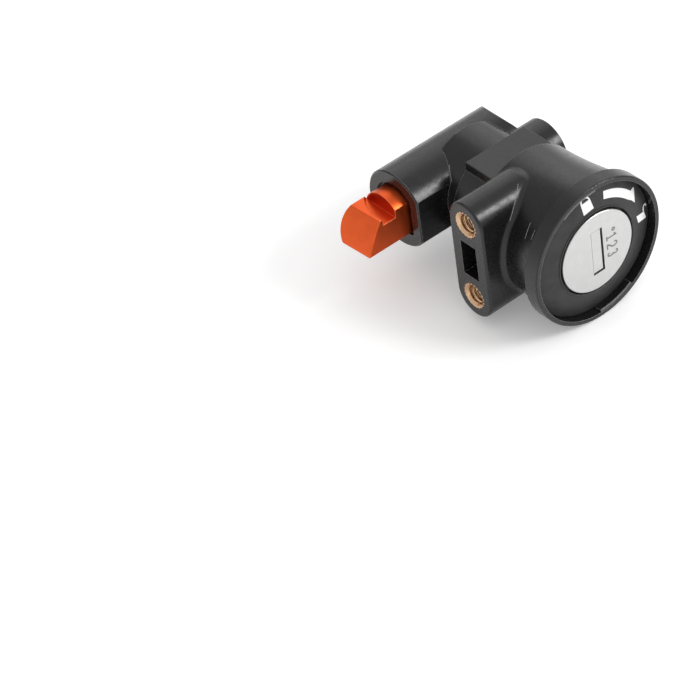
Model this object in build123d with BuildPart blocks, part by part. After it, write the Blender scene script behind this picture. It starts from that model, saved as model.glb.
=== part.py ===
from build123d import *
import os
from math import acos, cos, degrees, pi, radians, sin

# E-bike battery lock, in millimetres.
# The origin is the centre of the bezel's front edge. The key goes in along +Y,
# the bolt leaves along -X, and +Z is up when the padlock sign is at the top.

# Bezel and barrel
bezel_radius = 16.0
bezel_rim_depth = 3.4
bezel_step = 0.9
bezel_lip = 1.0
bezel_edge_radius = 0.3
bezel_back_radius = 0.15
tab_reach = 0.4
tab_front = 0.25
tab_back = 1.8
tab_start_angle = -31.0
tab_span = 33.0
flare_start_slope = -0.15
barrel_radius = 13.4
barrel_end = 20.6

# Rear of the housing
shoulder_radius = 12.0
shoulder_end = 28.6
pad_width = 15.3
pad_height = 11.2
neck_radius = 10.4
neck_end = 38.05
rear_edge_radius = 0.25
pad_edge_radius = 0.15
tube_axis_depth = 39.0
tube_radius = 8.55
tube_flat_offset = 6.9
tube_mouth_x = -17.85
side_boss_radius = 6.05
side_boss_depth = 31.85
side_boss_end_x = 15.75
side_boss_edge_radius = 0.15
tube_mouth_chamfer = 0.3
tube_mouth_relief = 0.5
tube_mouth_relief_depth = 0.6
edge_search = 0.01

# Lug with its two threaded inserts
lug_face_x = -18.5
lug_depth = 16.4
lug_radius = 4.85
lug_root_x = -3.2
lug_root_radius = 2.0
lug_blend_radius = 1.2
lug_edge_radius = 0.5
insert_spacing = 17.8
insert_radius = 3.0
insert_length = 8.0
insert_thread_radius = 1.65
insert_sink_radius = 2.65
insert_sink_depth = 0.8
insert_tooth_count = 20
insert_tooth_depth = 0.18
pocket_width = 4.4
pocket_height = 8.2
pocket_depth = 7.0

# Lock core
sleeve_radius = 9.6
sleeve_nose_radius = 9.3
sleeve_front = 1.6
sleeve_end = 26.1
plug_radius = 7.0
plug_head_radius = 8.6
plug_head_end = 4.0
plug_body_end = 26.0
running_clearance = 0.05
seat_clearance = 0.3
line_fit = 0.02
tail_radius = 2.5
tail_flat_width = 3.8
tumbler_groove_radius = 8.05
tumbler_groove_width = 6.5

# Front cap and the dust flap in its keyhole
cap_radius = 8.93
cap_front = 0.2
cap_thickness = 0.75
cap_edge_radius = 0.25
keyway_width = 2.9
keyway_height = 10.4
keyway_end = 25.0
flap_width = 2.3
flap_height = 9.8
flap_thickness = 0.6
flap_side_gap = 0.1
flap_recess = 0.05
flap_pocket_clearance = 0.1
flap_swing_clearance = 0.4
hinge_offset_x = -1.95
hinge_depth = 1.45
hinge_knuckle_radius = 0.43
hinge_pin_radius = 0.26
hinge_pin_bearing = 0.7
flap_spring_wire = 0.07
flap_spring_length = 3.0
flap_spring_turns = 8

# Dial ring
dial_inner_radius = 9.4
dial_front_inner = 0.5
dial_front_outer = 2.1
dial_back = 3.3
dial_side_clearance = 0.15

# Wafers
wafer_count = 6
wafer_first = 7.6
wafer_pitch = 2.8
wafer_thickness = 1.2
wafer_width = 6.0
wafer_window_width = 3.1
wafer_window_height = 9.4
wafer_clearance = 0.1
wafer_travel = 0.9
wafer_lug_reach = 2.9
wafer_lug_height = 1.0
wafer_lug_bottom = 0.6
wafer_spring_radius = 0.5
wafer_spring_wire = 0.11
wafer_spring_length = 3.6
wafer_spring_turns = 5

# Seal ring
seal_depth = 5.4
seal_section_radius = 0.57
seal_fit = 0.03

# Cam, bolt and bolt spring
chamber_radius = 8.0
chamber_end = 33.9
cam_radius = 7.5
cam_thickness = 2.4
cam_gap = 0.3
cam_tower_inner_radius = 3.1
cam_tower_angle = 70.0
cam_tower_end = 33.3
crank_radius = 4.6
crank_pin_radius = 1.5
crank_pin_end = 38.7
crank_pin_chamfer = 0.3
crank_pin_play = 0.35
plug_turn = 90.0
bolt_radius = 5.45
bolt_flat_offset = 3.95
bolt_slide_clearance = 0.15
bolt_tip_low_x = -28.9
bolt_tip_middle_x = -27.3
bolt_tip_high_x = -25.4
bolt_tip_land = 0.5
bolt_tip_skew = 4.0
bolt_nose_edge_radius = 0.25
bolt_nose_height = 3.35
bolt_notch_floor = 2.0
bolt_notch_back_x = -21.15
bolt_notch_front_x = -24.45
bolt_notch_round_depth = 37.5
bolt_notch_round_radius = 8.3
bolt_end_x = 1.5
bolt_slot_floor = 1.3
bolt_bore_end_x = 8.3
bolt_spring_radius = 1.45
bolt_spring_wire = 0.2
bolt_spring_hole_radius = 1.75
bolt_spring_drop = 1.0
bolt_spring_hole_depth = 9.5
bolt_spring_turns = 9

# Screw, washer and cross pin
cam_screw_radius = 1.25
cam_screw_length = 7.0
cam_screw_head_radius = 2.4
cam_screw_head_height = 1.5
cam_washer_radius = 2.9
cam_washer_thickness = 0.5
sleeve_pin_radius = 1.25
sleeve_pin_depth = 14.5
sleeve_pin_seat_height = 8.4

# Sizes that follow from those above
recess_radius = bezel_radius - bezel_lip
flare_start_radius = bezel_radius - bezel_step
core_bore_radius = sleeve_radius + running_clearance
core_bore_end = sleeve_end + running_clearance
cap_back = cap_front + cap_thickness
half_turn = radians(plug_turn / 2)
crank_x = -crank_radius * sin(half_turn)
crank_z = crank_radius * cos(half_turn)
bolt_travel = 2 * crank_radius * sin(half_turn)
cam_front = sleeve_end + cam_gap
cam_back = cam_front + cam_thickness
tail_end = cam_back
flap_right_x = keyway_width / 2 - (keyway_width - flap_width - flap_side_gap)
flap_left_x = flap_right_x - flap_width
flap_top_z = keyway_height / 2 - flap_side_gap
flap_bottom_z = flap_top_z - flap_height
flap_front = cap_front + flap_recess
flap_back = flap_front + flap_thickness
hinge_top_z = keyway_height / 2 + hinge_pin_bearing
wafer_radius = plug_radius - wafer_clearance
wafer_depths = [wafer_first + wafer_pitch * i for i in range(wafer_count)]
wafer_spring_reach = wafer_spring_radius + wafer_spring_wire + wafer_clearance
spring_column_x = wafer_width / 2 + wafer_lug_reach - wafer_spring_reach


def facing(depth):
    """Sketch plane across the key axis, at a depth behind the front edge, with Z up and X to the right."""
    return Plane(origin=(0, depth, 0), x_dir=(1, 0, 0), z_dir=(0, -1, 0))


def across(x, depth, height=0):
    """Sketch plane across the bolt's axis, whose own X is +Y and own Y is +Z."""
    return Plane(origin=(x, depth, height), x_dir=(0, 1, 0), z_dir=(1, 0, 0))


def level(height, depth=0, x=0):
    """Level sketch plane at a height."""
    return Plane(origin=(x, depth, height), x_dir=(1, 0, 0), z_dir=(0, 0, 1))


def profile_side(clock=90.0):
    """Plane of a half section, clock degrees past the top: own X is the radius, own Y the depth."""
    turn = radians(clock)
    return Plane(origin=(0, 0, 0), x_dir=(sin(turn), 0, cos(turn)), z_dir=(-cos(turn), 0, sin(turn)))


def bolt_section(growth=0.0):
    """Section of the bolt, grown all round: a circle with one flat towards the bezel and one below."""
    radius = bolt_radius + growth
    flat = bolt_flat_offset + growth
    with BuildSketch() as section:
        Circle(radius)
        with Locations((-flat - radius / 2, 0)):
            Rectangle(radius, 2 * radius, mode=Mode.SUBTRACT)
        with Locations((0, -flat - radius / 2)):
            Rectangle(2 * radius, radius, mode=Mode.SUBTRACT)
    return section.sketch


def finish(part, name):
    """Name a finished piece and write it."""
    part.label = name
    export_step(part, f"parts/{name}.step")


os.makedirs("parts", exist_ok=True)

# Housing: flared barrel on the key axis
with BuildPart() as housing:
    with BuildSketch(profile_side()):
        with BuildLine():
            Polyline(
                (0, 0),
                (bezel_radius, 0),
                (bezel_radius, bezel_rim_depth),
                (flare_start_radius, bezel_rim_depth),
            )
            Spline(
                (flare_start_radius, bezel_rim_depth),
                (barrel_radius, barrel_end),
                tangents=((flare_start_slope, 1), (0, 1)),
            )
            Polyline(
                (barrel_radius, barrel_end),
                (barrel_radius, shoulder_end),
                (0, shoulder_end),
                (0, 0),
            )
        make_face()
    revolve(axis=Axis.Y)
    rim_back = housing.edges().filter_by_position(
        Axis.Y, bezel_rim_depth - edge_search, bezel_rim_depth + edge_search
    )
    fillet(rim_back, bezel_back_radius)

    # Lug for the two inserts, its root rounded down and blended into a barrel that runs past it
    with BuildSketch(across(lug_face_x, lug_depth), mode=Mode.PRIVATE) as lug_outline:
        SlotCenterToCenter(insert_spacing, 2 * lug_radius, rotation=90)
    lug = extrude(
        lug_outline.sketch, amount=lug_root_x - lug_face_x, mode=Mode.PRIVATE
    )
    lug = lug.fillet(lug_root_radius, lug.edges().group_by(Axis.X)[-1])
    add(lug)
    fillet(housing.edges(Select.NEW), lug_blend_radius)
    # The barrel is then cut to its length, which leaves the lug standing behind its end
    with BuildSketch(facing(shoulder_end)):
        Circle(bezel_radius)
    extrude(amount=shoulder_end - barrel_end, mode=Mode.SUBTRACT)
    fillet(housing.edges().group_by(Axis.Y)[-1], rear_edge_radius)
    add(lug)

    # Stepped shoulder with the flat pad on top
    with BuildSketch(facing(shoulder_end)):
        Circle(shoulder_radius)
        with Locations((0, pad_height / 2)):
            Rectangle(pad_width, pad_height)
        with Locations((0, pad_height + shoulder_radius / 2)):
            Rectangle(2 * shoulder_radius, shoulder_radius, mode=Mode.SUBTRACT)
    extrude(amount=shoulder_end - barrel_end)
    pad = housing.faces().filter_by(Plane.XY).sort_by(Axis.Z)[-1]
    pad_rear = pad.edges().sort_by(Axis.Y)[-1:]
    fillet(pad.edges().filter_by(Axis.Y) + pad_rear, pad_edge_radius)
    with BuildSketch(facing(neck_end)):
        Circle(neck_radius)
    extrude(amount=neck_end - barrel_end)
    fillet(housing.edges().group_by(Axis.Y)[-1], rear_edge_radius)

    # Cross tube, flat towards the bezel, with its closed end rounded to the shoulder's radius
    tube_plane = across(tube_mouth_x, tube_axis_depth)
    with BuildSketch(tube_plane):
        Circle(tube_radius)
        with Locations((-tube_flat_offset - tube_radius / 2, 0)):
            Rectangle(tube_radius, 2 * tube_radius, mode=Mode.SUBTRACT)
    tube_back = tube_axis_depth + tube_radius
    with BuildSketch(facing(tube_back), mode=Mode.PRIVATE) as tube_limit:
        Circle(shoulder_radius)
        with Locations((tube_mouth_x, 0)):
            Rectangle(-2 * tube_mouth_x, 2 * shoulder_radius)
    tube_envelope = extrude(
        tube_limit.sketch, amount=tube_back - barrel_end, mode=Mode.PRIVATE
    )
    tube_bar = extrude(
        amount=shoulder_radius - tube_mouth_x, mode=Mode.PRIVATE
    )
    add(tube_bar & tube_envelope)

    # Side boss at the closed end
    with BuildSketch(across(0, side_boss_depth)):
        Circle(side_boss_radius)
    extrude(amount=side_boss_end_x)

    mouth_rim = housing.edges().filter_by_position(
        Axis.X, tube_mouth_x - edge_search, tube_mouth_x + edge_search
    )
    chamfer(mouth_rim, tube_mouth_chamfer)
    for end_x, rounding in (
        (lug_face_x, lug_edge_radius),
        (side_boss_end_x, side_boss_edge_radius),
    ):
        rim = housing.edges().filter_by_position(Axis.X, end_x - edge_search, end_x + edge_search)
        fillet(rim, rounding)
    bezel_edge = housing.edges().filter_by_position(Axis.Y, -edge_search, edge_search)
    fillet(bezel_edge, bezel_edge_radius)

    # Recess for the dial ring, bore for the core, chamber for the cam
    with BuildSketch(facing(0)):
        Circle(recess_radius)
    extrude(amount=-dial_back, mode=Mode.SUBTRACT)
    # Two opposite tabs inside the rim, which the dial ring snaps behind
    for tab_angle in (tab_start_angle, tab_start_angle + 180):
        with BuildSketch(profile_side(tab_angle)):
            with Locations((recess_radius - tab_reach, tab_front)):
                Rectangle(
                    tab_reach + bezel_lip / 2,
                    tab_back - tab_front,
                    align=(Align.MIN, Align.MIN),
                )
        revolve(axis=Axis.Y, revolution_arc=tab_span)
    with BuildSketch(facing(dial_back)):
        Circle(core_bore_radius)
    extrude(amount=-(core_bore_end - dial_back), mode=Mode.SUBTRACT)
    with BuildSketch(facing(core_bore_end)):
        Circle(chamber_radius)
    extrude(amount=-(chamber_end - core_bore_end), mode=Mode.SUBTRACT)

    # Bore for the bolt, flat on two sides and wider at the mouth
    with BuildSketch(across(tube_mouth_x, tube_axis_depth)):
        add(bolt_section(bolt_slide_clearance))
    extrude(amount=bolt_bore_end_x - tube_mouth_x, mode=Mode.SUBTRACT)
    with BuildSketch(across(tube_mouth_x, tube_axis_depth)):
        add(bolt_section(bolt_slide_clearance + tube_mouth_relief))
    extrude(amount=tube_mouth_relief_depth, mode=Mode.SUBTRACT)

    # Window through which the crank pin reaches the bolt
    crank_path = CenterArc((0, 0), crank_radius, 90 - plug_turn / 2, plug_turn, mode=Mode.PRIVATE)
    with BuildSketch(facing(chamber_end)):
        SlotArc(crank_path, 2 * (crank_pin_radius + crank_pin_play))
    extrude(amount=-(tube_axis_depth - chamber_end), mode=Mode.SUBTRACT)

    # Seats for the inserts, the locating pocket and the cross pin
    with BuildSketch(across(lug_face_x, lug_depth)):
        with Locations((0, insert_spacing / 2), (0, -insert_spacing / 2)):
            Circle(insert_radius)
    extrude(amount=insert_length, mode=Mode.SUBTRACT)
    with BuildSketch(across(lug_face_x, lug_depth)):
        Rectangle(pocket_width, pocket_height)
    extrude(amount=pocket_depth, mode=Mode.SUBTRACT)
    with BuildSketch(level(-bezel_radius, sleeve_pin_depth)):
        Circle(sleeve_pin_radius)
    extrude(amount=bezel_radius - sleeve_pin_seat_height, mode=Mode.SUBTRACT)
finish(housing.part, "housing")

# Dial ring: a shallow cone that rises to the cap
with BuildPart() as dial_ring:
    with BuildSketch(profile_side()):
        with BuildLine():
            Polyline(
                (dial_inner_radius, dial_front_inner),
                (recess_radius - dial_side_clearance, dial_front_outer),
                (recess_radius - dial_side_clearance, dial_back),
                (dial_inner_radius, dial_back),
                close=True,
            )
        make_face()
    revolve(axis=Axis.Y)
finish(dial_ring.part, "dial_ring")

# Cap with the keyhole
with BuildPart() as face_disc:
    with BuildSketch(facing(cap_back)):
        Circle(cap_radius)
        Rectangle(keyway_width, keyway_height, mode=Mode.SUBTRACT)
    extrude(amount=cap_thickness)
    cap_rim = face_disc.edges().filter_by(GeomType.CIRCLE).sort_by(Axis.Y)[0]
    fillet(cap_rim, cap_edge_radius)
finish(face_disc.part, "face_disc")

# Plug: head, body with keyway, flatted tail for the cam
with BuildPart() as lock_plug:
    with BuildSketch(facing(plug_head_end)):
        Circle(plug_head_radius)
    extrude(amount=plug_head_end - cap_back)
    with BuildSketch(facing(plug_body_end)):
        Circle(plug_radius)
    extrude(amount=plug_body_end - plug_head_end)
    with BuildSketch(facing(tail_end)):
        Circle(tail_radius)
        Rectangle(2 * tail_radius, tail_flat_width, mode=Mode.INTERSECT)
    extrude(amount=tail_end - plug_body_end)
    with BuildSketch(facing(cap_back)):
        Rectangle(keyway_width, keyway_height)
    extrude(amount=-(keyway_end - cap_back), mode=Mode.SUBTRACT)
    # Room for the dust flap to swing in, and the holes of its pin
    swing_left_x = hinge_offset_x - hinge_knuckle_radius - flap_pocket_clearance
    swing_end = hinge_depth + flap_right_x - hinge_offset_x + flap_swing_clearance
    swing_half_height = keyway_height / 2 + flap_pocket_clearance
    with BuildSketch(level(-swing_half_height)):
        with BuildLine():
            Polyline(
                (swing_left_x, cap_back),
                (keyway_width / 2, cap_back),
                (keyway_width / 2, swing_end),
                (swing_left_x, swing_end),
                close=True,
            )
        make_face()
    extrude(amount=2 * swing_half_height, mode=Mode.SUBTRACT)
    with BuildSketch(level(-hinge_top_z, hinge_depth, hinge_offset_x)):
        Circle(hinge_pin_radius)
    extrude(amount=2 * hinge_top_z, mode=Mode.SUBTRACT)
    # One cross slot for each wafer, with a closed pocket beside it for the lug and its spring
    for number, depth in enumerate(wafer_depths):
        side = 1 if number % 2 == 0 else -1
        slot_half = wafer_thickness / 2 + wafer_clearance
        with BuildSketch(facing(depth + slot_half)):
            Rectangle(wafer_width + 2 * wafer_clearance, 2 * plug_head_radius)
            pocket_top = wafer_lug_bottom + wafer_lug_height + wafer_travel + wafer_clearance
            pocket_bottom = wafer_lug_bottom - wafer_spring_length
            pocket_reach = wafer_width / 2 + wafer_lug_reach + wafer_clearance
            with Locations((side * pocket_reach / 2, side * (pocket_top + pocket_bottom) / 2)):
                Rectangle(pocket_reach, pocket_top - pocket_bottom)
        extrude(amount=2 * slot_half, mode=Mode.SUBTRACT)
    with BuildSketch(facing(tail_end)):
        Circle(cam_screw_radius)
    extrude(amount=cam_screw_length - cam_washer_thickness, mode=Mode.SUBTRACT)
finish(lock_plug.part, "lock_plug")

# Sleeve: stepped outside, plug bore, four tumbler grooves, seal groove
with BuildPart() as lock_sleeve:
    with BuildSketch(profile_side()):
        with BuildLine():
            Polyline(
                (plug_head_radius + running_clearance, sleeve_front),
                (sleeve_nose_radius, sleeve_front),
                (sleeve_nose_radius, dial_back),
                (sleeve_radius, dial_back),
                (sleeve_radius, sleeve_end),
                (plug_radius + running_clearance, sleeve_end),
                (plug_radius + running_clearance, plug_head_end + running_clearance),
                (plug_head_radius + running_clearance, plug_head_end + running_clearance),
                close=True,
            )
        make_face()
    revolve(axis=Axis.Y)
    groove_front = wafer_first - wafer_thickness
    with BuildSketch(facing(sleeve_end)):
        for quarter in range(4):
            with Locations(Location((0, 0, 0), (0, 0, 90 * quarter))):
                with Locations((0, tumbler_groove_radius / 2)):
                    Rectangle(tumbler_groove_width, tumbler_groove_radius)
    extrude(amount=sleeve_end - groove_front, mode=Mode.SUBTRACT)
    with BuildSketch(profile_side()):
        seal_land = seal_section_radius + seal_fit
        with Locations((sleeve_radius, seal_depth)):
            Rectangle(4 * seal_land, 2 * seal_land)
    revolve(axis=Axis.Y, mode=Mode.SUBTRACT)
    with BuildSketch(level(-barrel_radius, sleeve_pin_depth)):
        Circle(sleeve_pin_radius)
    extrude(amount=barrel_radius - sleeve_pin_seat_height, mode=Mode.SUBTRACT)
finish(lock_sleeve.part, "lock_sleeve")

# Seal ring in the sleeve's groove
with BuildPart() as seal_ring:
    with BuildSketch(profile_side()):
        with Locations((core_bore_radius - seal_fit - seal_section_radius, seal_depth)):
            Circle(seal_section_radius)
    revolve(axis=Axis.Y)
finish(seal_ring.part, "seal_ring")

# Dust flap: plate, arm and two knuckles round its pin
with BuildPart() as key_shutter:
    with BuildSketch(level(flap_bottom_z)):
        with BuildLine():
            Polyline(
                (flap_left_x, flap_front),
                (flap_right_x, flap_front),
                (flap_right_x, flap_back),
                (flap_left_x + flap_thickness, flap_back),
                (hinge_offset_x, hinge_depth + hinge_knuckle_radius),
                (hinge_offset_x, hinge_depth - hinge_knuckle_radius),
                (flap_left_x, hinge_depth - hinge_knuckle_radius),
                close=True,
            )
        make_face()
        with Locations((hinge_offset_x, hinge_depth)):
            Circle(hinge_knuckle_radius)
            Circle(hinge_pin_radius + running_clearance, mode=Mode.SUBTRACT)
    extrude(amount=flap_height)
    with BuildSketch(level(-flap_spring_length / 2, hinge_depth, hinge_offset_x)):
        Rectangle(
            2 * (flap_left_x - hinge_offset_x - flap_side_gap / 2),
            4 * hinge_knuckle_radius,
        )
    extrude(amount=flap_spring_length, mode=Mode.SUBTRACT)
finish(key_shutter.part, "key_shutter")

with BuildPart() as shutter_pin:
    with BuildSketch(level(-hinge_top_z, hinge_depth, hinge_offset_x)):
        Circle(hinge_pin_radius - line_fit)
    extrude(amount=2 * hinge_top_z)
finish(shutter_pin.part, "shutter_pin")


def coil_spring(start, direction, length, radius, wire, turns):
    """Six-sided wire wound along a line from start, with its wire's centre one wire inside each end."""
    free_length = length - 2 * wire
    with BuildPart() as coil:
        with BuildLine() as path:
            Helix(
                pitch=free_length / turns,
                height=free_length,
                radius=radius,
                center=start + direction * wire,
                direction=direction,
            )
        with BuildSketch(Plane(origin=path.line @ 0, z_dir=path.line % 0)):
            RegularPolygon(wire, 6)
        sweep(is_frenet=True)
    return coil.part


finish(
    coil_spring(
        Vector(hinge_offset_x, hinge_depth, -flap_spring_length / 2 + flap_side_gap),
        Vector(0, 0, 1),
        flap_spring_length - 2 * flap_side_gap,
        hinge_pin_radius + running_clearance / 2 + flap_spring_wire,
        flap_spring_wire,
        flap_spring_turns,
    ),
    "shutter_spring",
)

# Wafers and their springs, every second one turned end for end
for number, depth in enumerate(wafer_depths):
    side = 1 if number % 2 == 0 else -1
    with BuildPart() as wafer:
        with BuildSketch(facing(depth + wafer_thickness / 2)):
            Circle(wafer_radius)
            Rectangle(wafer_width, 2 * wafer_radius, mode=Mode.INTERSECT)
            lug_x = side * (wafer_width + wafer_lug_reach) / 2
            lug_z = side * (wafer_lug_bottom + wafer_lug_height / 2)
            with Locations((lug_x, lug_z)):
                Rectangle(wafer_lug_reach, wafer_lug_height)
            with Locations((0, side * (wafer_window_height - keyway_height) / 2)):
                Rectangle(wafer_window_width, wafer_window_height, mode=Mode.SUBTRACT)
        extrude(amount=wafer_thickness)
    finish(wafer.part, f"wafer_{number + 1}")
    finish(
        coil_spring(
            Vector(side * spring_column_x, depth, side * (wafer_lug_bottom - wafer_spring_length)),
            Vector(0, 0, side),
            wafer_spring_length,
            wafer_spring_radius,
            wafer_spring_wire,
            wafer_spring_turns,
        ),
        f"wafer_spring_{number + 1}",
    )

# Cam: disc on the plug's flatted tail, with a tower that carries the crank pin
with BuildPart() as drive_cam:
    with BuildSketch(facing(cam_back)):
        Circle(cam_radius)
    extrude(amount=cam_thickness)
    with BuildSketch(facing(cam_tower_end)):
        with BuildLine():
            tower_start = 90 + (plug_turn - cam_tower_angle) / 2
            inner = CenterArc((0, 0), cam_tower_inner_radius, tower_start, cam_tower_angle)
            outer = CenterArc((0, 0), cam_radius, tower_start, cam_tower_angle)
            Line(inner @ 0, outer @ 0)
            Line(inner @ 1, outer @ 1)
        make_face()
    extrude(amount=cam_tower_end - cam_back)
    with BuildSketch(facing(crank_pin_end)):
        with Locations((crank_x, crank_z)):
            Circle(crank_pin_radius)
    extrude(amount=crank_pin_end - cam_tower_end)
    with BuildSketch(facing(cam_back)):
        Circle(tail_radius + running_clearance)
        Rectangle(
            2 * cam_radius,
            tail_flat_width + 2 * running_clearance,
            mode=Mode.INTERSECT,
        )
    extrude(amount=cam_thickness, mode=Mode.SUBTRACT)
    pin_rim = drive_cam.edges().sort_by(Axis.Y)[-1]
    chamfer(pin_rim, crank_pin_chamfer)
finish(drive_cam.part, "drive_cam")

with BuildPart() as cam_washer:
    with BuildSketch(facing(cam_back + cam_washer_thickness)):
        Circle(cam_washer_radius)
        Circle(cam_screw_radius + running_clearance, mode=Mode.SUBTRACT)
    extrude(amount=cam_washer_thickness)
finish(cam_washer.part, "cam_washer")

with BuildPart() as cam_screw:
    head_seat = cam_back + cam_washer_thickness
    with BuildSketch(facing(head_seat + cam_screw_head_height)):
        Circle(cam_screw_head_radius)
    extrude(amount=cam_screw_head_height)
    with BuildSketch(facing(head_seat)):
        Circle(cam_screw_radius - line_fit)
    extrude(amount=cam_screw_length - seat_clearance)
    with BuildSketch(facing(head_seat + cam_screw_head_height)):
        RegularPolygon(cam_screw_radius, 6)
    extrude(amount=cam_screw_head_height / 2, mode=Mode.SUBTRACT)
finish(cam_screw.part, "cam_screw")

# Bolt: round bar with two flats, curved ramp on its nose, notch behind it, slot for the crank pin
with BuildPart() as latch_bolt:
    bolt_start_x = bolt_tip_low_x - bolt_radius
    with BuildSketch(across(bolt_start_x, tube_axis_depth)):
        add(bolt_section())
    extrude(amount=bolt_end_x - bolt_start_x)
    # The ramp's far side stands further out than its near side
    skew = radians(bolt_tip_skew)
    ramp_plane = Plane(
        origin=(bolt_tip_middle_x, tube_axis_depth, 0),
        x_dir=(cos(skew), sin(skew), 0),
        z_dir=(sin(skew), -cos(skew), 0),
    )
    ramp_foot = (bolt_tip_low_x - bolt_tip_middle_x, bolt_tip_land - bolt_flat_offset)
    ramp_top = (bolt_tip_high_x - bolt_tip_middle_x, bolt_nose_height)
    with BuildSketch(ramp_plane):
        with BuildLine():
            ThreePointArc(ramp_foot, (0, 0), ramp_top)
            Polyline(
                ramp_top,
                (ramp_top[0], bolt_radius),
                (-2 * bolt_radius, bolt_radius),
                (-2 * bolt_radius, -bolt_radius),
                (ramp_foot[0], -bolt_radius),
                ramp_foot,
            )
        make_face()
    extrude(amount=2 * bolt_radius, both=True, mode=Mode.SUBTRACT)
    with BuildSketch(facing(tube_axis_depth + bolt_radius)):
        with Locations((bolt_notch_back_x, bolt_nose_height)):
            Rectangle(
                bolt_notch_back_x - bolt_start_x,
                bolt_radius,
                align=(Align.MAX, Align.MIN),
            )
    extrude(amount=2 * bolt_radius, mode=Mode.SUBTRACT)
    ramp = latch_bolt.faces().filter_by(GeomType.CYLINDER).sort_by(Axis.X)[0]
    tip_land = latch_bolt.faces().sort_by(Axis.X)[0]
    nose_edges = ramp.edges().sort_by(Axis.Z)[1:] + tip_land.edges().sort_by(Axis.Z)[:-1]
    fillet(nose_edges, bolt_nose_edge_radius)
    notch_near = tube_axis_depth - bolt_flat_offset
    notch_round_reach = bolt_notch_front_x + bolt_notch_round_radius - bolt_notch_back_x
    notch_round_sweep = degrees(acos(notch_round_reach / bolt_notch_round_radius))
    with BuildSketch(level(bolt_notch_floor)):
        with BuildLine():
            Polyline(
                (bolt_notch_back_x, notch_near),
                (bolt_notch_front_x, notch_near),
                (bolt_notch_front_x, bolt_notch_round_depth),
            )
            notch_round = JernArc(
                (bolt_notch_front_x, bolt_notch_round_depth),
                (0, 1),
                bolt_notch_round_radius,
                -notch_round_sweep,
            )
            Line(notch_round @ 1, (bolt_notch_back_x, notch_near))
        make_face()
    extrude(amount=bolt_radius, mode=Mode.SUBTRACT)
    slot_reach = crank_pin_radius + crank_pin_play
    with BuildSketch(level(bolt_slot_floor)):
        with Locations((crank_x + slot_reach, crank_pin_end + crank_pin_play)):
            Rectangle(
                bolt_travel + 2 * slot_reach,
                2 * bolt_radius,
                align=(Align.MAX, Align.MAX),
            )
    extrude(amount=bolt_radius, mode=Mode.SUBTRACT)
    with BuildSketch(across(bolt_end_x, tube_axis_depth, -bolt_spring_drop)):
        Circle(bolt_spring_hole_radius)
    extrude(amount=-bolt_spring_hole_depth, mode=Mode.SUBTRACT)
finish(latch_bolt.part, "latch_bolt")

spring_start_x = bolt_end_x - bolt_spring_hole_depth
finish(
    coil_spring(
        Vector(bolt_bore_end_x, tube_axis_depth, -bolt_spring_drop),
        Vector(-1, 0, 0),
        bolt_bore_end_x - spring_start_x,
        bolt_spring_radius,
        bolt_spring_wire,
        bolt_spring_turns,
    ),
    "bolt_spring",
)

# Threaded inserts, knurled outside and countersunk at the lug's face
for name, end in (("upper_insert", 1), ("lower_insert", -1)):
    with BuildPart() as insert:
        with BuildSketch(across(lug_face_x, lug_depth, end * insert_spacing / 2)):
            Circle(insert_radius - line_fit - insert_tooth_depth)
            tooth_width = pi * insert_radius / insert_tooth_count
            with PolarLocations(insert_radius - line_fit - insert_tooth_depth, insert_tooth_count):
                Rectangle(2 * insert_tooth_depth, tooth_width)
        extrude(amount=insert_length - seat_clearance)
        with BuildSketch(across(lug_face_x, lug_depth, end * insert_spacing / 2)):
            Circle(insert_thread_radius)
        extrude(amount=insert_length, mode=Mode.SUBTRACT)
        bore_rim = insert.edges().filter_by(GeomType.CIRCLE).group_by(Axis.X)[0].sort_by(SortBy.RADIUS)[0]
        chamfer(bore_rim, insert_sink_depth, insert_sink_radius - insert_thread_radius)
    finish(insert.part, name)

# Cross pin that holds the sleeve in the barrel
with BuildPart() as sleeve_pin:
    with BuildSketch(level(-barrel_radius + seat_clearance, sleeve_pin_depth)):
        Circle(sleeve_pin_radius - line_fit)
    extrude(amount=barrel_radius - seat_clearance - sleeve_pin_seat_height)
finish(sleeve_pin.part, "sleeve_pin")
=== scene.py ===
from math import cos, hypot, pi, radians, sin

import bmesh
import bpy
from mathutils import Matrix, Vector
from mathutils.bvhtree import BVHTree


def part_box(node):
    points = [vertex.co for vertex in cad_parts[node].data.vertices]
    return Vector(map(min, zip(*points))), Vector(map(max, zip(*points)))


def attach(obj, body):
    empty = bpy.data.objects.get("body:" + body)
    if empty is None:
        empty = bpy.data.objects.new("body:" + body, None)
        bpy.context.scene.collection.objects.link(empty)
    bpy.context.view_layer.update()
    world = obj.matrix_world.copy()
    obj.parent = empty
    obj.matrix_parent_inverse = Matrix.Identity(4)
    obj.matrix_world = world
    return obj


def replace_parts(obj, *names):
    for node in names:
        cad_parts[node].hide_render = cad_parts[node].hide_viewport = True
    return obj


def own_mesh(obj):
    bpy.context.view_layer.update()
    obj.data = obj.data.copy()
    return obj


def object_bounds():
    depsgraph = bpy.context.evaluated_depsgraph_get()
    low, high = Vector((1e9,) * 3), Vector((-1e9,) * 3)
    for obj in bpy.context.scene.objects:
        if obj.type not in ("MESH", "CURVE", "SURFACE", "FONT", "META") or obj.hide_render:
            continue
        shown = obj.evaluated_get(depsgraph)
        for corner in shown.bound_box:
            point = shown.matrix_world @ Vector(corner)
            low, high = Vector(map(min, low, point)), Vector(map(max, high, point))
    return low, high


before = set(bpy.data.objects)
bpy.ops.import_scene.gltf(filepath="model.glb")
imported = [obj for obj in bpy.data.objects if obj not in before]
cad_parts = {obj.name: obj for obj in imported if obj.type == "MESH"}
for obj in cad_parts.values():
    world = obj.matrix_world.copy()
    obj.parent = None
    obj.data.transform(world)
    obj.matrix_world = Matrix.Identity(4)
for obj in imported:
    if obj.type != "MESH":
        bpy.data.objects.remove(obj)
cad_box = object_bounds()

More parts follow.
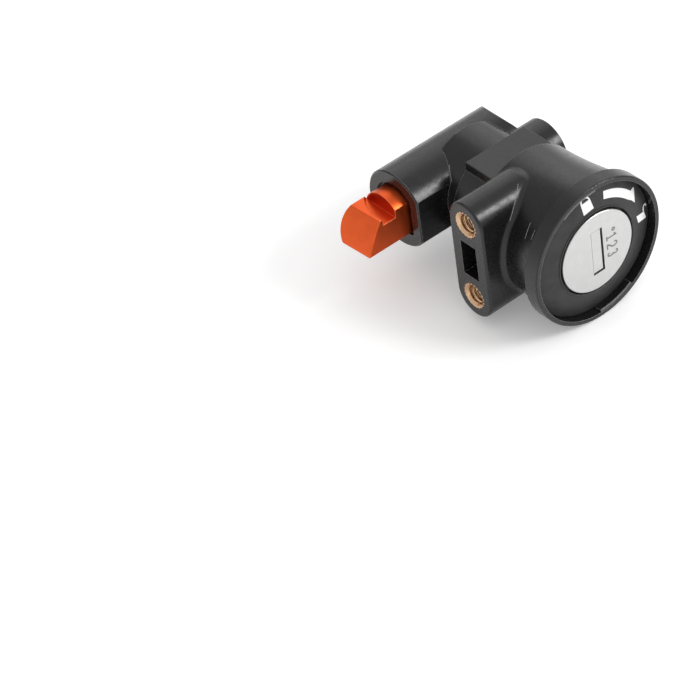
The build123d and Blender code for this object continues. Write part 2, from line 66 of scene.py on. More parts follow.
bl_info = {
    "name": "E-bike battery lock",
    "version": (1, 0, 0),
    "blender": (4, 5, 0),
    "location": "View3D > Sidebar > Battery lock",
    "description": "Finishes, threads, signs and stage for the lock of an e-bike battery",
    "category": "Object",
}

# The key axis is the Y axis, and the bezel's front lies at y = 0.
# Lengths are in metres, so a length known in millimetres is written as a number times MM.
# Clock angles are in degrees round the key axis, from the top (+Z) towards +X.
MM = 0.001

# The dial is a cone: the width of its ring, and how far its outer edge lies behind the inner one
DIAL_WIDTH = 5.45 * MM
DIAL_RISE = 1.6 * MM

# The values between which a noise texture mostly stays
NOISE_LOW, NOISE_HIGH = 0.3, 0.7

# How far uneven gloss goes below and above a material's roughness
GLOSS_BELOW, GLOSS_ABOVE = 0.05, 0.06

# How much higher each thin plate of a sign stands than the plate before it
PLATE_STEP = 0.001 * MM


# ---------------------------------------------------------------- settings

class PlasticSettings(bpy.types.PropertyGroup):
    """Colours and grain of the moulded pieces."""
    housing_colour: bpy.props.FloatVectorProperty(
        name="Housing colour", description="Black of the moulded housing", subtype="COLOR",
        size=3, min=0, max=1, default=(0.008, 0.008, 0.0082))
    dial_colour: bpy.props.FloatVectorProperty(
        name="Dial colour", description="Dark grey of the cone round the cap", subtype="COLOR",
        size=3, min=0, max=1, default=(0.036, 0.036, 0.0364))
    # The edge colour is a painted highlight along the moulded edges
    edge_highlight_colour: bpy.props.FloatVectorProperty(
        name="Edge colour", description="Grey of the thin line along moulded edges",
        subtype="COLOR", size=3, min=0, max=1, default=(0.36, 0.36, 0.363))
    bolt_colour: bpy.props.FloatVectorProperty(
        name="Bolt colour", description="Orange of the anodised bolt", subtype="COLOR",
        size=3, min=0, max=1, default=(0.72, 0.105, 0.026))
    grain_size: bpy.props.FloatProperty(
        name="Grain size", description="Size of the mould's fine grain", unit="LENGTH",
        precision=5, default=0.22 * MM)
    grain_depth: bpy.props.FloatProperty(
        name="Grain depth", description="Depth of the mould's fine grain", unit="LENGTH",
        precision=6, default=0.004 * MM)


class MetalSettings(bpy.types.PropertyGroup):
    """Colours, thread and knurl of the metal pieces."""
    cap_colour: bpy.props.FloatVectorProperty(
        name="Cap colour", description="Silver of the cap and its flap", subtype="COLOR",
        size=3, min=0, max=1, default=(0.58, 0.58, 0.576))
    brass_colour: bpy.props.FloatVectorProperty(
        name="Brass colour", description="Brass of the inserts and the wafers", subtype="COLOR",
        size=3, min=0, max=1, default=(0.6, 0.4, 0.245))
    # Near-black of the plug, the sleeve and the cam; the darkness paints the shade in the narrow
    # gap round the cap
    core_colour_and_gap_shade: bpy.props.FloatVectorProperty(
        name="Core colour", description="Dark coat of the plug, the sleeve and the cam",
        subtype="COLOR", size=3, min=0, max=1, default=(0.012, 0.012, 0.0122))
    thread_pitch: bpy.props.FloatProperty(
        name="Thread pitch", description="Pitch of the thread in the inserts", unit="LENGTH",
        precision=5, default=0.7 * MM)
    thread_depth: bpy.props.FloatProperty(
        name="Thread depth", description="Depth of the thread in the inserts", unit="LENGTH",
        precision=5, default=0.36 * MM)
    tooth_count: bpy.props.IntProperty(
        name="Knurl teeth", description="Teeth round an insert", default=20, min=6)
    tooth_depth: bpy.props.FloatProperty(
        name="Knurl depth", description="Depth of an insert's teeth", unit="LENGTH",
        precision=5, default=0.18 * MM)


class SignSettings(bpy.types.PropertyGroup):
    """Signs on the dial and digits in the cap."""
    print_colour: bpy.props.FloatVectorProperty(
        name="Print colour", description="White of the printed signs", subtype="COLOR",
        size=3, min=0, max=1, default=(0.8, 0.8, 0.79))
    print_lift: bpy.props.FloatProperty(
        name="Print lift", description="How far the print stands off the dial", unit="LENGTH",
        precision=6, default=0.025 * MM)
    digits: bpy.props.StringProperty(
        name="Digits", description="Plain digits stamped beside the keyhole", default="123")
    stroke_width: bpy.props.FloatProperty(
        name="Stroke width", description="Width of a stamped stroke", unit="LENGTH",
        precision=5, default=0.34 * MM)


class StageSettings(bpy.types.PropertyGroup):
    """Floor, lights, surround and camera."""
    floor_colour: bpy.props.FloatVectorProperty(
        name="Floor colour", description="Pale floor", subtype="COLOR",
        size=3, min=0, max=1, default=(0.95, 0.95, 0.95))
    floor_glow: bpy.props.FloatProperty(
        name="Floor glow", description="Light that the pale floor gives off", default=0.16)
    front_power: bpy.props.FloatProperty(
        name="Front light", description="Power of the small light at the front right",
        unit="POWER", default=1.6)
    back_power: bpy.props.FloatProperty(
        name="Back light", description="Power of the wide light behind", unit="POWER", default=0.72)
    surround: bpy.props.FloatProperty(
        name="Surround", description="Brightness of the white surround", default=0.85)
    grey_side: bpy.props.FloatProperty(
        name="Grey side", description="Brightness of the surround's grey side", default=0.5)
    lens: bpy.props.FloatProperty(
        name="Lens", description="Focal length of the camera in millimetres", default=159.315)


# ---------------------------------------------------------------- materials

def shader_of(material):
    """The node that shades the material's surface."""
    return material.node_tree.nodes["Principled BSDF"]


def new_material(name, colour, roughness, metallic=0.0):
    """A node material with its shader set to one colour, roughness and metal value."""
    material = bpy.data.materials.new(name)
    material.use_nodes = True
    shader = shader_of(material)
    shader.inputs["Base Color"].default_value = (*colour, 1.0)
    shader.inputs["Roughness"].default_value = roughness
    shader.inputs["Metallic"].default_value = metallic
    return material


def noise(material, size, stretch=(1, 1, 1), detail=3.0):
    """Noise whose features are about size across, drawn out along the axes by stretch."""
    nodes, links = material.node_tree.nodes, material.node_tree.links
    place = nodes.new("ShaderNodeTexCoord")
    scale = nodes.new("ShaderNodeMapping")
    scale.inputs["Scale"].default_value = [1.0 / (size * s) for s in stretch]
    texture = nodes.new("ShaderNodeTexNoise")
    texture.inputs["Scale"].default_value = 1.0
    texture.inputs["Detail"].default_value = detail
    links.new(place.outputs["Object"], scale.inputs["Vector"])
    links.new(scale.outputs["Vector"], texture.inputs["Vector"])
    return texture.outputs["Fac"]


def vary_roughness(material, source, low, high):
    """The roughness runs from low to high as the source runs over its middle range."""
    nodes, links = material.node_tree.nodes, material.node_tree.links
    spread = nodes.new("ShaderNodeMapRange")
    spread.inputs["From Min"].default_value = NOISE_LOW
    spread.inputs["From Max"].default_value = NOISE_HIGH
    spread.inputs["To Min"].default_value = low
    spread.inputs["To Max"].default_value = high
    links.new(source, spread.inputs["Value"])
    links.new(spread.outputs["Result"], shader_of(material).inputs["Roughness"])


def vary_colour(material, source, low, high):
    """The colour runs from low to high as the source runs over its middle range."""
    nodes, links = material.node_tree.nodes, material.node_tree.links
    ramp = nodes.new("ShaderNodeValToRGB")
    start, end = ramp.color_ramp.elements
    start.position, end.position = NOISE_LOW, NOISE_HIGH
    start.color, end.color = (*low, 1.0), (*high, 1.0)
    links.new(source, ramp.inputs["Fac"])
    links.new(ramp.outputs["Color"], shader_of(material).inputs["Base Color"])


def tinted(colour, factor):
    """The colour times the factor, and never above one."""
    return tuple(min(1.0, c * factor) for c in colour)


def cloud_colour(material, colour, size, darkest, lightest):
    """Clouds about size across, between two tints of the colour."""
    vary_colour(material, noise(material, size), tinted(colour, darkest), tinted(colour, lightest))


def roughen(material, source, depth, strength=1.0):
    """Adds the source as bumps of that depth, on top of any bumps already there."""
    nodes, links = material.node_tree.nodes, material.node_tree.links
    shader = shader_of(material)
    bump = nodes.new("ShaderNodeBump")
    bump.inputs["Distance"].default_value = depth
    bump.inputs["Strength"].default_value = strength
    links.new(source, bump.inputs["Height"])
    if shader.inputs["Normal"].links:
        links.new(shader.inputs["Normal"].links[0].from_socket, bump.inputs["Normal"])
    links.new(bump.outputs["Normal"], shader.inputs["Normal"])


def edge_normal(material, radius):
    """The surface's direction as if its sharp edges were rounded to the radius."""
    edge = material.node_tree.nodes.new("ShaderNodeBevel")
    edge.inputs["Radius"].default_value = radius
    return edge.outputs["Normal"]


def round_edges(material, radius):
    """Catches the light along sharp edges as if they were rounded to the radius."""
    links = material.node_tree.links
    links.new(edge_normal(material, radius), shader_of(material).inputs["Normal"])


def paint_edge_highlights(material, radius, colour):
    """Painted highlight: gives the colour to the thin line along sharp edges."""
    # How far the rounded direction agrees with the plain one: where the painted highlight starts
    # and is full
    start, full = 0.985, 0.86
    nodes, links = material.node_tree.nodes, material.node_tree.links
    shader = shader_of(material)
    skin = nodes.new("ShaderNodeNewGeometry")
    likeness = nodes.new("ShaderNodeVectorMath")
    likeness.operation = "DOT_PRODUCT"
    links.new(edge_normal(material, radius), likeness.inputs[0])
    links.new(skin.outputs["Normal"], likeness.inputs[1])
    line = nodes.new("ShaderNodeMapRange")
    line.inputs["From Min"].default_value = start
    line.inputs["From Max"].default_value = full
    links.new(likeness.outputs["Value"], line.inputs["Value"])
    blend = nodes.new("ShaderNodeMixRGB")
    links.new(line.outputs["Result"], blend.inputs["Fac"])
    links.new(shader.inputs["Base Color"].links[0].from_socket, blend.inputs["Color1"])
    blend.inputs["Color2"].default_value = (*colour, 1.0)
    links.new(blend.outputs["Color"], shader.inputs["Base Color"])


def moulded(name, plastic, colour, edge_highlight_colour, roughness, shine):
    """Satin moulded plastic: fine grain, faint waves, uneven gloss and a painted highlight along
    the edges.
    """
    gloss_size, wave_size, wave_depth, wave_strength = 1.1 * MM, 1.6 * MM, 0.012 * MM, 0.5
    material = new_material(name, colour, roughness)
    shader_of(material).inputs["Specular IOR Level"].default_value = shine
    round_edges(material, radius=0.16 * MM)
    cloud_colour(material, colour, size=2.5 * MM, darkest=0.88, lightest=1.16)
    vary_roughness(material, noise(material, gloss_size),
                   roughness - GLOSS_BELOW, roughness + GLOSS_ABOVE)
    roughen(material, noise(material, plastic.grain_size, detail=4.0), plastic.grain_depth)
    roughen(material, noise(material, wave_size), wave_depth, wave_strength)
    # Painted highlight along the sharp edges
    paint_edge_highlights(material, radius=0.12 * MM, colour=edge_highlight_colour)
    return material


def anodised(name, colour):
    """Satin metal under a coloured skin, with a painted highlight along its edges."""
    gloss_size, grain_size, grain_depth = 0.8 * MM, 0.12 * MM, 0.003 * MM
    # Light orange painted as a highlight along the bolt's edges
    edge_highlight_colour = (1.0, 0.35, 0.16)
    material = new_material(name, colour, roughness=0.34, metallic=1.0)
    round_edges(material, radius=0.2 * MM)
    cloud_colour(material, colour, size=3.0 * MM, darkest=0.93, lightest=1.05)
    vary_roughness(material, noise(material, gloss_size), low=0.3, high=0.4)
    roughen(material, noise(material, grain_size, detail=2.0), grain_depth)
    paint_edge_highlights(material, radius=0.1 * MM, colour=edge_highlight_colour)
    return material


def drawn_metal(name, colour, roughness, line_width, stretch, depth):
    """Metal with fine lines along the stretched direction and faint clouds in its colour."""
    material = new_material(name, colour, roughness, metallic=1.0)
    lines = noise(material, line_width, stretch, detail=2.0)
    cloud_colour(material, colour, size=1.8 * MM, darkest=0.97, lightest=1.02)
    vary_roughness(material, lines, roughness - GLOSS_BELOW, roughness + GLOSS_ABOVE)
    roughen(material, lines, depth)
    return material


def dark_zinc(name, colour):
    """Die-cast zinc, dark all over, with faint clouds and grain."""
    grain_size, grain_depth = 0.25 * MM, 0.006 * MM
    material = new_material(name, colour, roughness=0.45)
    round_edges(material, radius=0.1 * MM)
    cloud_colour(material, colour, size=1.5 * MM, darkest=0.85, lightest=1.2)
    roughen(material, noise(material, grain_size), grain_depth)
    return material


def rubber(name, colour):
    """Matt black rubber with a dusty bloom."""
    grain_size, grain_depth = 0.15 * MM, 0.01 * MM
    material = new_material(name, colour, roughness=0.75)
    cloud_colour(material, colour, size=0.5 * MM, darkest=1.0, lightest=1.8)
    roughen(material, noise(material, grain_size), grain_depth)
    return material


def ink(name, colour):
    """Screen-printed ink with slightly uneven cover."""
    grain_size, grain_depth = 0.12 * MM, 0.004 * MM
    material = new_material(name, colour, roughness=0.5)
    cloud_colour(material, colour, size=0.4 * MM, darkest=0.93, lightest=1.05)
    roughen(material, noise(material, grain_size), grain_depth)
    return material


def clothe(material, *names):
    """Puts the material on CAD nodes."""
    for name in names:
        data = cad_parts[name].data
        data.materials.clear()
        data.materials.append(material)


# ---------------------------------------------------------------- points and lines

def outward(clock):
    """Direction away from the key axis at a clock angle."""
    return Vector((sin(radians(clock)), 0.0, cos(radians(clock))))


def round_key(radius, clock):
    """The (x, z) place at a radius and a clock angle round the key axis."""
    return radius * sin(radians(clock)), radius * cos(radians(clock))


def arc_points(centre, radius, start, end, count):
    """Points of an arc from start to end degrees, counted from +x towards +z."""
    angles = [radians(start + (end - start) * i / (count - 1)) for i in range(count)]
    return [(centre[0] + radius * cos(a), centre[1] + radius * sin(a)) for a in angles]


def smoothed(points, rounds=2):
    """The line with its corners cut off in rounds; its two ends stay."""
    near, far = 0.75, 0.25
    for _ in range(rounds):
        cut = [points[0]]
        for (x0, z0), (x1, z1) in zip(points, points[1:]):
            cut.append((near * x0 + far * x1, near * z0 + far * z1))
            cut.append((far * x0 + near * x1, far * z0 + near * z1))
        points = cut + [points[-1]]
    return points


def stroke_rails(points, width):
    """Two rails half a width to each side of a line of points."""
    left, right = [], []
    for i, (x, z) in enumerate(points):
        ahead = points[min(i + 1, len(points) - 1)]
        behind = points[max(i - 1, 0)]
        run = Vector((ahead[0] - behind[0], ahead[1] - behind[1]))
        run.normalize()
        left.append((x - run.y * width / 2, z + run.x * width / 2))
        right.append((x + run.y * width / 2, z - run.x * width / 2))
    return left, right


# ---------------------------------------------------------------- mesh tools

def piece(name, mesh, material, body):
    """One finished piece that rides on a body and takes its finish from a slot."""
    mesh.materials.append(material)
    obj = bpy.data.objects.new(name, mesh)
    bpy.context.scene.collection.objects.link(obj)
    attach(obj, body)
    return obj


def closed_mesh(name, bm):
    """The finished mesh, with its faces turned outwards."""
    bmesh.ops.recalc_face_normals(bm, faces=bm.faces[:])
    mesh = bpy.data.meshes.new(name)
    bm.to_mesh(mesh)
    bm.free()
    return mesh


def bridge(bm, rings, smooth):
    """Faces between each closed ring of points and the next."""
    for near, far in zip(rings, rings[1:]):
        for step in range(len(near)):
            following = (step + 1) % len(near)
            face = bm.faces.new((near[step], near[following], far[following], far[step]))
            face.smooth = smooth


def lathe_mesh(name, rows, steps, place):
    """Closed skin of rows of (depth, radius) functions of the angle, set in space by place."""
    bm = bmesh.new()
    rings = []
    for depth, radius in rows:
        ring = []
        for step in range(steps):
            angle = 2 * pi * step / steps
            ring.append(bm.verts.new(place(depth(angle), radius(angle), angle)))
        rings.append(ring)
    bridge(bm, rings + rings[:1], smooth=True)
    return closed_mesh(name, bm)


def inlay_mesh(name, strips, height, lift, sink):
    """Thin closed plates between pairs of rails of (x, z) points, on the surface height(x, z).
    Each plate stands a hair higher than the last, so that plates that cross never share a face.
    """
    bm = bmesh.new()
    for number, (left, right) in enumerate(strips):
        rails = (left, right)
        rise = lift + number * PLATE_STEP
        top = [[bm.verts.new((x, height(x, z) - rise, z)) for x, z in rail] for rail in rails]
        low = [[bm.verts.new((x, height(x, z) + sink, z)) for x, z in rail] for rail in rails]
        last = len(left) - 1
        for i in range(last):
            bm.faces.new((top[0][i], top[0][i + 1], top[1][i + 1], top[1][i]))
            bm.faces.new((low[0][i], low[1][i], low[1][i + 1], low[0][i + 1]))
            for side in (0, 1):
                bm.faces.new((top[side][i], low[side][i], low[side][i + 1], top[side][i + 1]))
        for end in (0, last):
            bm.faces.new((top[0][end], top[1][end], low[1][end], low[0][end]))
    return closed_mesh(name, bm)


def ridge_mesh(name, lines, width, height):
    """Low closed ridges along lines of (point, normal) pairs."""
    foot_depth = 0.03 * MM
    bm = bmesh.new()
    for line in lines:
        rings = []
        for i, (point, normal) in enumerate(line):
            run = line[min(i + 1, len(line) - 1)][0] - line[max(i - 1, 0)][0]
            side = run.cross(normal).normalized() * (width / 2)
            foot = point - normal * foot_depth
            crest = point + normal * height
            rings.append([bm.verts.new(corner) for corner in (foot + side, crest, foot - side)])
        bridge(bm, rings, smooth=False)
        bm.faces.new(rings[0])
        bm.faces.new(rings[-1])
    return closed_mesh(name, bm)


def coil_mesh(name, start, direction, across, radius, wire, length, turns):
    """Round wire wound about a line, with its end turns closed up against their seats."""
    steps_per_turn, sides = 28, 8
    other = direction.cross(across)
    count = int(turns * steps_per_turn)
    # Share of the wire's steps that lie flat, half of them at each end
    closed = 0.5 / turns
    wire_angles = [2 * pi * k / sides for k in range(sides)]
    bm = bmesh.new()
    rings = []
    for i in range(count + 1):
        share = i / count
        rise = min(max((share - closed / 2) / (1 - closed), 0.0), 1.0)
        angle = 2 * pi * turns * share
        out = across * cos(angle) + other * sin(angle)
        centre = start + direction * (wire + (length - 2 * wire) * rise) + out * radius
        rings.append([bm.verts.new(centre + out * (wire * cos(a)) + direction * (wire * sin(a)))
                      for a in wire_angles])
    bridge(bm, rings, smooth=True)
    bm.faces.new(rings[0])
    bm.faces.new(rings[-1])
    return closed_mesh(name, bm)


def housing_skin():
    """Search tree over the housing's surface."""
    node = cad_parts["housing"]
    bm = bmesh.new()
    bm.from_mesh(node.data)
    bm.transform(node.matrix_world)
    skin = BVHTree.FromBMesh(bm)
    bm.free()
    return skin


# ---------------------------------------------------------------- operators

class LOCK_OT_finish_plastic(bpy.types.Operator):
    """Give the housing, the dial, the anodised bolt and the rubber seal their finishes"""
    bl_idname = "battery_lock.finish_plastic"
    bl_label = "Finish the housing, dial, bolt and seal"

    def execute(self, context):
        plastic = context.scene.lock_plastic
        # edge holds the colour of the painted highlight along the sharp edges
        edge = plastic.edge_highlight_colour
        clothe(moulded("housing_nylon", plastic, plastic.housing_colour, edge,
                       roughness=0.27, shine=0.42), "housing")
        clothe(moulded("dial_nylon", plastic, plastic.dial_colour, edge,
                       roughness=0.5, shine=0.2), "dial_ring")
        clothe(anodised("bolt_orange", plastic.bolt_colour), "latch_bolt")
        clothe(rubber("seal_rubber", colour=(0.018, 0.018, 0.018)), "seal_ring")
        return {"FINISHED"}


class LOCK_OT_finish_metal(bpy.types.Operator):
    """Give the cap, the core, the wafers, the cam, its screw and the pins their metal finishes"""
    bl_idname = "battery_lock.finish_metal"
    bl_label = "Finish the metal pieces"

    def execute(self, context):
        metal = context.scene.lock_metal
        cap = drawn_metal("cap_satin", metal.cap_colour, roughness=0.40,
                          line_width=0.12 * MM, stretch=(1, 1, 14), depth=0.0015 * MM)
        clothe(cap, "face_disc", "key_shutter")
        # Near-black zinc: the darkness paints the shade in the narrow gap round the cap
        clothe(dark_zinc("core_zinc", metal.core_colour_and_gap_shade), "lock_plug", "lock_sleeve", "drive_cam")
        wafer = drawn_metal("wafer_stamped", metal.brass_colour, roughness=0.3,
                            line_width=0.1 * MM, stretch=(1, 1, 8), depth=0.002 * MM)
        clothe(wafer, *[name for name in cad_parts
                        if name.startswith("wafer_") and "spring" not in name])
        steel = drawn_metal("plated_steel", (0.62, 0.62, 0.60), roughness=0.3,
                            line_width=0.1 * MM, stretch=(1, 6, 1), depth=0.001 * MM)
        clothe(steel, "cam_washer", "cam_screw", "shutter_pin", "sleeve_pin")
        return {"FINISHED"}


class LOCK_OT_add_inserts(bpy.types.Operator):
    """Make the two knurled inserts with their countersinks and threads"""
    bl_idname = "battery_lock.add_inserts"
    bl_label = "Add the threaded inserts"

    def execute(self, context):
        metal = context.scene.lock_metal
        brass = drawn_metal("insert_turned", metal.brass_colour, roughness=0.2,
                            line_width=0.08 * MM, stretch=(8, 1, 1), depth=0.002 * MM)
        for name in ("upper_insert", "lower_insert"):
            low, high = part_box(name)
            mesh = self.shape(name + "_threaded", low, high, metal)
            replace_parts(piece(name + "_threaded", mesh, brass, "lock_body"), name)
        return {"FINISHED"}

    def shape(self, name, low, high, metal):
        """Knurled outside, countersink and threaded bore in one closed skin."""
        bore, sink, sink_depth, chamfer = 1.65 * MM, 2.65 * MM, 0.8 * MM, 0.12 * MM
        root_gap, front_gap = 0.02 * MM, 0.05 * MM
        slant_length, tooth_slope = 2.2 * MM, 1.6
        waist_half, waist_teeth = 0.35 * MM, 1.6
        groove_floor, groove_slope = 1.35, 2.0
        knurl_rows, rows_per_pitch, steps_per_tooth = 22, 9, 6
        centre = (low + high) / 2
        outer = (high.z - low.z) / 2
        length = high.x - low.x
        root = outer - metal.tooth_depth - root_gap
        waist = outer - waist_teeth * metal.tooth_depth

        def fixed(value):
            return lambda angle: value

        def knurl(depth):
            """The teeth slant one way on the front half and the other way on the back half."""
            slant = (depth if depth < length / 2 else length - depth) / slant_length

            def radius(angle):
                tooth = (angle / (2 * pi) * metal.tooth_count + slant) % 1.0
                return outer - metal.tooth_depth * min(1.0, abs(2 * tooth - 1) * tooth_slope)
            return radius

        def thread(depth):
            def radius(angle):
                wave = (depth / metal.thread_pitch - angle / (2 * pi)) % 1.0
                groove = max(0.0, min(1.0, groove_floor - abs(2 * wave - 1) * groove_slope))
                return bore + metal.thread_depth * groove
            return radius

        def place(depth, radius, angle):
            return Vector((low.x + depth, centre.y + radius * cos(angle),
                           centre.z + radius * sin(angle)))

        rows = [(fixed(0.0), fixed(sink)), (fixed(0.0), fixed(root)),
                (fixed(0.0), lambda angle: knurl(0.0)(angle) - front_gap)]
        for i in range(knurl_rows + 1):
            depth = chamfer / 2 + (length - chamfer) * i / knurl_rows
            in_waist = abs(depth - length / 2) < waist_half
            rows.append((fixed(depth), fixed(waist) if in_waist else knurl(depth)))
        rows.append((fixed(length), fixed(root)))
        thread_rows = int((length - sink_depth) / metal.thread_pitch * rows_per_pitch)
        for i in range(thread_rows + 1):
            depth = length - (length - sink_depth) * i / thread_rows
            rows.append((fixed(depth), thread(depth)))
        return lathe_mesh(name, rows, steps_per_tooth * metal.tooth_count, place)


class LOCK_OT_add_signs(bpy.types.Operator):
    """Print the closed padlock, the turn arrow and the open padlock on the dial"""
    bl_idname = "battery_lock.add_signs"
    bl_label = "Add the dial's signs"

    # A padlock is the four corners of its body, in order round it, and the line of its shackle,
    # all as (x, z) in millimetres
    closed_body = ((-2.28, 12.1), (0.1, 12.33), (0.35, 10.27), (-2.23, 9.93))
    closed_shackle = ((-2.13, 12.0), (-2.08, 12.6), (-1.8, 12.93), (-1.36, 13.08),
                      (-0.8, 13.03), (-0.25, 12.8), (-0.05, 12.25))
    open_body = ((10.96, 1.5), (13.55, 0.8), (14.15, -1.11), (11.37, -0.37))
    open_shackle = ((13.4, 0.7), (13.38, 1.5), (13.55, 2.05), (13.9, 2.25),
                    (14.2, 2.15), (14.42, 1.85), (14.5, 1.5))

    # The arrow's shaft runs between two clock angles; its inner and outer radius and how much
    # each grows towards the head are in millimetres
    shaft_start, shaft_end = 16.5, 53.0
    shaft_inner, inner_growth = 11.05, 0.35
    shaft_outer, outer_growth = 12.55, 0.55
    # The head's two rows of inner radius and clock angle, outer radius and clock angle
    head = ((11.8, 60.0, 13.9, 54.4), (12.05, 66.5, 14.05, 55.6))

    def execute(self, context):
        signs = context.scene.lock_signs
        sink = 0.03 * MM
        low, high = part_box("dial_ring")
        outer = high.x
        inner = outer - DIAL_WIDTH
        slope = DIAL_RISE / (outer - inner)

        def cone(x, z):
            return low.y + (hypot(x, z) - inner) * slope

        white = ink("sign_ink", signs.print_colour)
        for name, strips in (
                ("closed_padlock_sign", self.padlock(self.closed_body, self.closed_shackle)),
                ("turn_arrow_sign", self.arrow()),
                ("open_padlock_sign", self.padlock(self.open_body, self.open_shackle))):
            mesh = inlay_mesh(name, strips, cone, signs.print_lift, sink)
            piece(name, mesh, white, "lock_body")
        return {"FINISHED"}

    def padlock(self, corners, shackle):
        """Strips of a four-sided body and of the shackle's bent line."""
        count, shackle_width = 6, 0.3 * MM
        first, second, third, fourth = [Vector(corner) * MM for corner in corners]
        near = [first.lerp(fourth, i / count)[:] for i in range(count + 1)]
        far = [second.lerp(third, i / count)[:] for i in range(count + 1)]
        line = smoothed([(x * MM, z * MM) for x, z in shackle])
        return [(near, far), stroke_rails(line, shackle_width)]

    def arrow(self):
        """Strip of the bent arrow, from its tail to its tip."""
        count = 24
        near, far = [], []
        for i in range(count + 1):
            share = i / count
            clock = self.shaft_start + (self.shaft_end - self.shaft_start) * share
            near.append(round_key((self.shaft_inner + self.inner_growth * share ** 2) * MM, clock))
            far.append(round_key((self.shaft_outer + self.outer_growth * share) * MM, clock))
        for inner_radius, inner_clock, outer_radius, outer_clock in self.head:
            near.append(round_key(inner_radius * MM, inner_clock))
            far.append(round_key(outer_radius * MM, outer_clock))
        return [(near, far)]


class LOCK_OT_add_mould_lines(bpy.types.Operator):
    """Raise the mould lines, the thin front edges of the bezel's tabs and the dial's inner lip"""
    bl_idname = "battery_lock.add_mould_lines"
    bl_label = "Add the mould lines"

    # Each line runs between two places given by clock angle and millimetres behind the rim
    side_lines = (((-46.0, 6.55), (-58.8, 6.19)),
                  ((-48.7, 4.59), (-56.6, 4.51)),
                  ((-45.1, 34.25), (-59.3, 31.85)))
    # The line at the lug's foot is found from the front, between two places given by clock
    # angle and radius in millimetres
    lug_foot = ((-27.0, 14.73), (-53.6, 14.6))

    # The two tabs: the clock angles where they start, their span, the radii of their front
    # edges and how far these lie behind the rim
    tab_starts, tab_span = (-31.0, 149.0), 33.0
    tab_radii = (14.5 * MM, 15.02 * MM)
    tab_depth = 0.3 * MM

    # Closed outline of the lip: millimetres behind the cone's inner edge and outside it
    lip_outline = ((0.2, 0.02), (-0.08, 0.02), (-0.14, 0.1),
                   (-0.12, 0.2), (-0.04, 0.28), (0.2, 0.34))

    def execute(self, context):
        plastic = context.scene.lock_plastic
        self.add_lines(plastic)
        self.add_tab_edges(plastic)
        self.add_lip()
        return {"FINISHED"}

    def add_lines(self, plastic):
        """Fine ridges on the barrel, on the neck and at the lug's foot; their pale grey is a
        painted highlight along them.
        """
        skin = housing_skin()
        lines = [self.line(ends, skin, self.from_outside) for ends in self.side_lines]
        lines.append(self.line(self.lug_foot, skin, self.from_front))
        mesh = ridge_mesh("mould_lines", lines, width=0.26 * MM, height=0.05 * MM)
        # Pale grey: painted highlight along the real mould-line ridges
        line_highlight = moulded("mould_line_highlight", plastic, tinted(plastic.edge_highlight_colour, factor=0.6),
                       plastic.edge_highlight_colour, roughness=0.3, shine=0.42)
        piece("mould_lines", mesh, line_highlight, "lock_body")

    def from_outside(self, clock, depth):
        """Start and direction of a ray towards the key axis."""
        start_radius = 30 * MM
        out = outward(clock)
        return out * start_radius + Vector((0, depth * MM, 0)), -out

    def from_front(self, clock, radius):
        """Start and direction of a ray along the key axis, from behind the flare's widest part."""
        start_depth = 8 * MM
        return outward(clock) * (radius * MM) + Vector((0, start_depth, 0)), Vector((0, 1, 0))

    def line(self, ends, skin, cast):
        """Points and normals of the surface between two places."""
        (clock0, other0), (clock1, other1) = ends
        count = 14
        found = []
        for i in range(count + 1):
            share = i / count
            start, direction = cast(clock0 + (clock1 - clock0) * share,
                                    other0 + (other1 - other0) * share)
            found.append(skin.ray_cast(start, direction)[:2])
        return found

    def add_tab_edges(self, plastic):
        """Thin front edges of the two tabs in the bezel's recess, in a lighter grey that paints the
        highlight on them.
        """
        count = 24
        strips = []
        for first in self.tab_starts:
            clocks = [first + self.tab_span * i / count for i in range(count + 1)]
            strips.append([[round_key(radius, clock) for clock in clocks]
                           for radius in self.tab_radii])
        # Lighter grey than the black housing: painted highlight on the tabs' front edges
        grey = moulded("tab_highlight_nylon", plastic, tinted(plastic.dial_colour, factor=2.9),
                       tinted(plastic.edge_highlight_colour, factor=1.6), roughness=0.42, shine=0.3)
        mesh = inlay_mesh("tab_edges", strips, lambda x, z: self.tab_depth,
                          lift=0.15 * MM, sink=0.1 * MM)
        piece("tab_edges", mesh, grey, "lock_body")

    def add_lip(self):
        """Small rounded lip round the dial's inner edge."""
        steps = 96
        low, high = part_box("dial_ring")
        inner = high.x - DIAL_WIDTH
        rows = [(lambda angle, depth=depth: low.y + depth * MM,
                 lambda angle, step=step: inner + step * MM)
                for depth, step in self.lip_outline]

        def place(depth, radius, angle):
            return Vector((radius * sin(angle), depth, radius * cos(angle)))

        mesh = lathe_mesh("dial_lip", rows, steps, place)
        dial_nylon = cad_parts["dial_ring"].data.materials[0]
        piece("dial_lip", mesh, dial_nylon, "lock_body")


